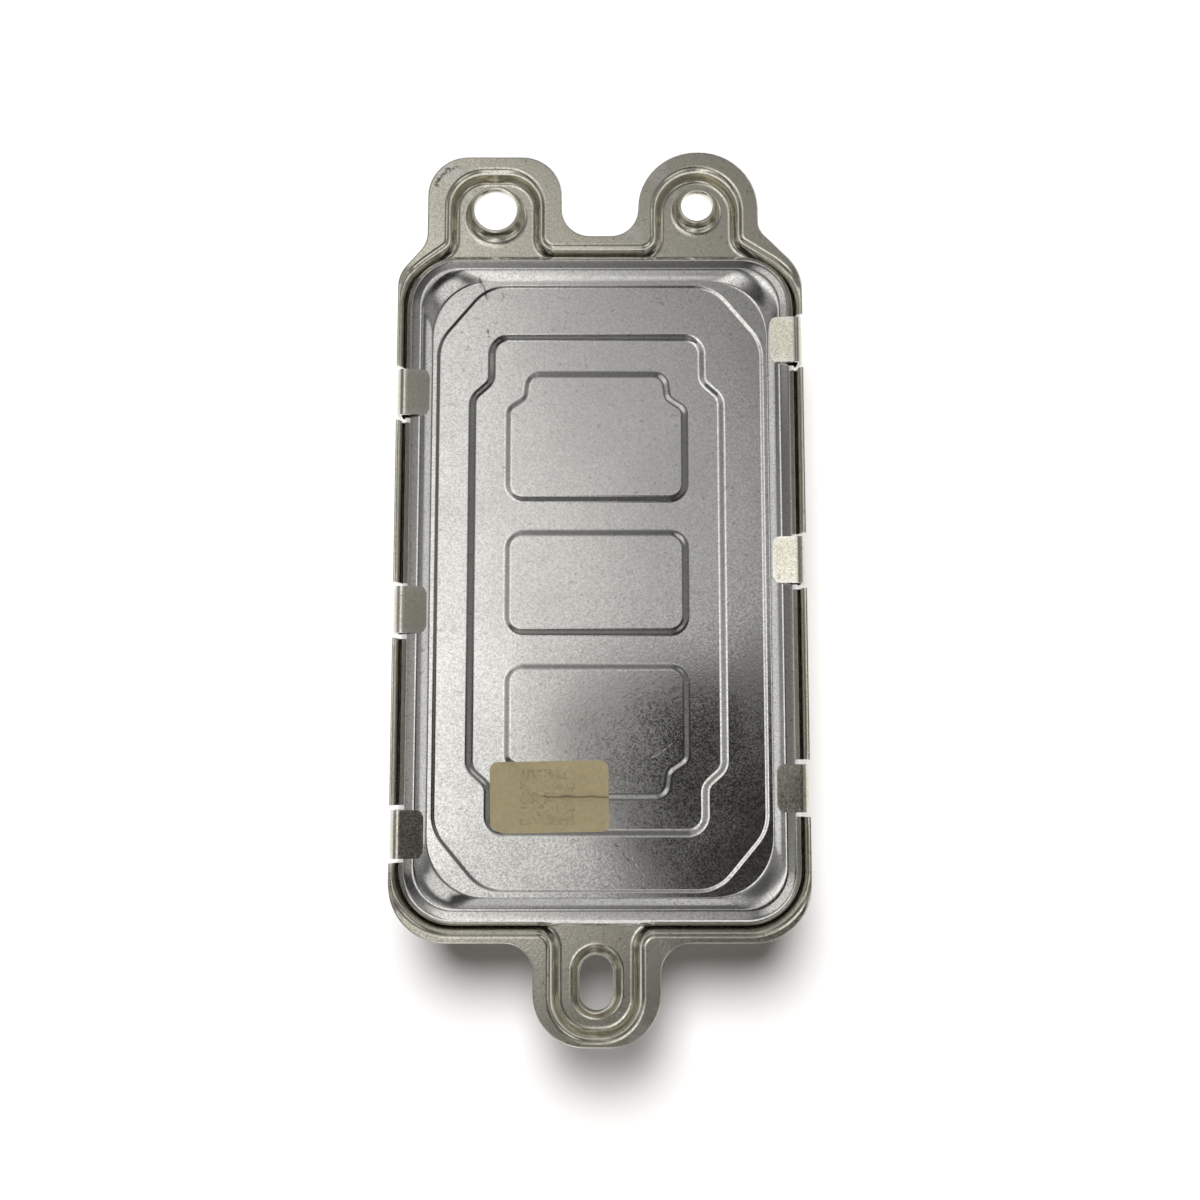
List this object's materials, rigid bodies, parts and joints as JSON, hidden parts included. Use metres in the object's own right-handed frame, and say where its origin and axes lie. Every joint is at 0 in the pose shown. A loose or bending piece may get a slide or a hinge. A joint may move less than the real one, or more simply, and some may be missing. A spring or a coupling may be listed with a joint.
{
  "type": "sealed lamp power module",
  "caption": "Flat sealed power module: pressed steel case with mounting ears, an embossed cover clamped by folded tabs, and a converter board inside.",
  "frame": {"origin": "centre of the footprint, on the underside of the case", "axes": "+Z out of the cover, +Y towards the two upper ears, +X to the right seen from the cover"},
  "size_m": [0.062, 0.1352, 0.0231],
  "materials": {
    "tinned_steel": "dull tin plate, slightly warm, lightly worn",
    "plated_steel": "matt nickel plate with a fine sparkling grain",
    "seal_rubber": "matt dark sealant",
    "label_film": "matt olive film",
    "insulating_film": "translucent film",
    "fastener_steel": "zinc plated",
    "board_laminate": "solder mask over glass laminate",
    "ferrite": "fired ceramic, dull",
    "bobbin_plastic": "moulded phenolic",
    "winding_copper": "enamelled wire",
    "capacitor_sleeve": "shrunk sleeve over aluminium",
    "film_capacitor_resin": "dipped resin",
    "bar_aluminium": "sawn and deburred",
    "chip_resin": "moulded resin",
    "spring_steel": "tempered strip",
    "capacitor_ceramic": "fired ceramic with tinned ends",
    "resistor_ceramic": "glazed ceramic with tinned ends",
    "shunt_alloy": "bare resistance strip",
    "fuse_ceramic": "glazed ceramic with tinned ends",
    "gap_filler": "soft silicone",
    "spring_bronze": "bare spring strip",
    "connector_plastic": "moulded glass-filled plastic",
    "contact_metal": "flash plated",
    "connector_seal": "silicone"
  },
  "bodies": {
    "root": {"case_pan": "tinned_steel", "cover_plate": "plated_steel", "seal_bead": "seal_rubber", "data_label": "label_film", "insulator_sheet": "insulating_film", "board_posts": "fastener_steel", "circuit_board": "board_laminate", "board_screws": "fastener_steel", "transformer_core_lower": "ferrite", "transformer_core_upper": "ferrite", "transformer_bobbin": "bobbin_plastic", "transformer_winding": "winding_copper", "inductor_core": "ferrite", "inductor_bobbin": "bobbin_plastic", "inductor_winding": "winding_copper", "choke_core": "ferrite", "choke_winding": "winding_copper", "electrolytic_capacitors": "capacitor_sleeve", "film_capacitors": "film_capacitor_resin", "heat_bar": "bar_aluminium", "bridge_transistors": "chip_resin", "transistor_clips": "spring_steel", "control_chip": "chip_resin", "driver_chips": "chip_resin", "chip_capacitors": "capacitor_ceramic", "chip_resistors": "resistor_ceramic", "current_shunt": "shunt_alloy", "input_fuse": "fuse_ceramic", "thermal_pads": "gap_filler", "ground_strap": "spring_bronze", "power_header": "connector_plastic", "power_pins": "contact_metal", "power_seal": "connector_seal", "lamp_socket": "connector_plastic", "lamp_pins": "contact_metal", "lamp_seal": "connector_seal"}
  },
  "joints": []
}
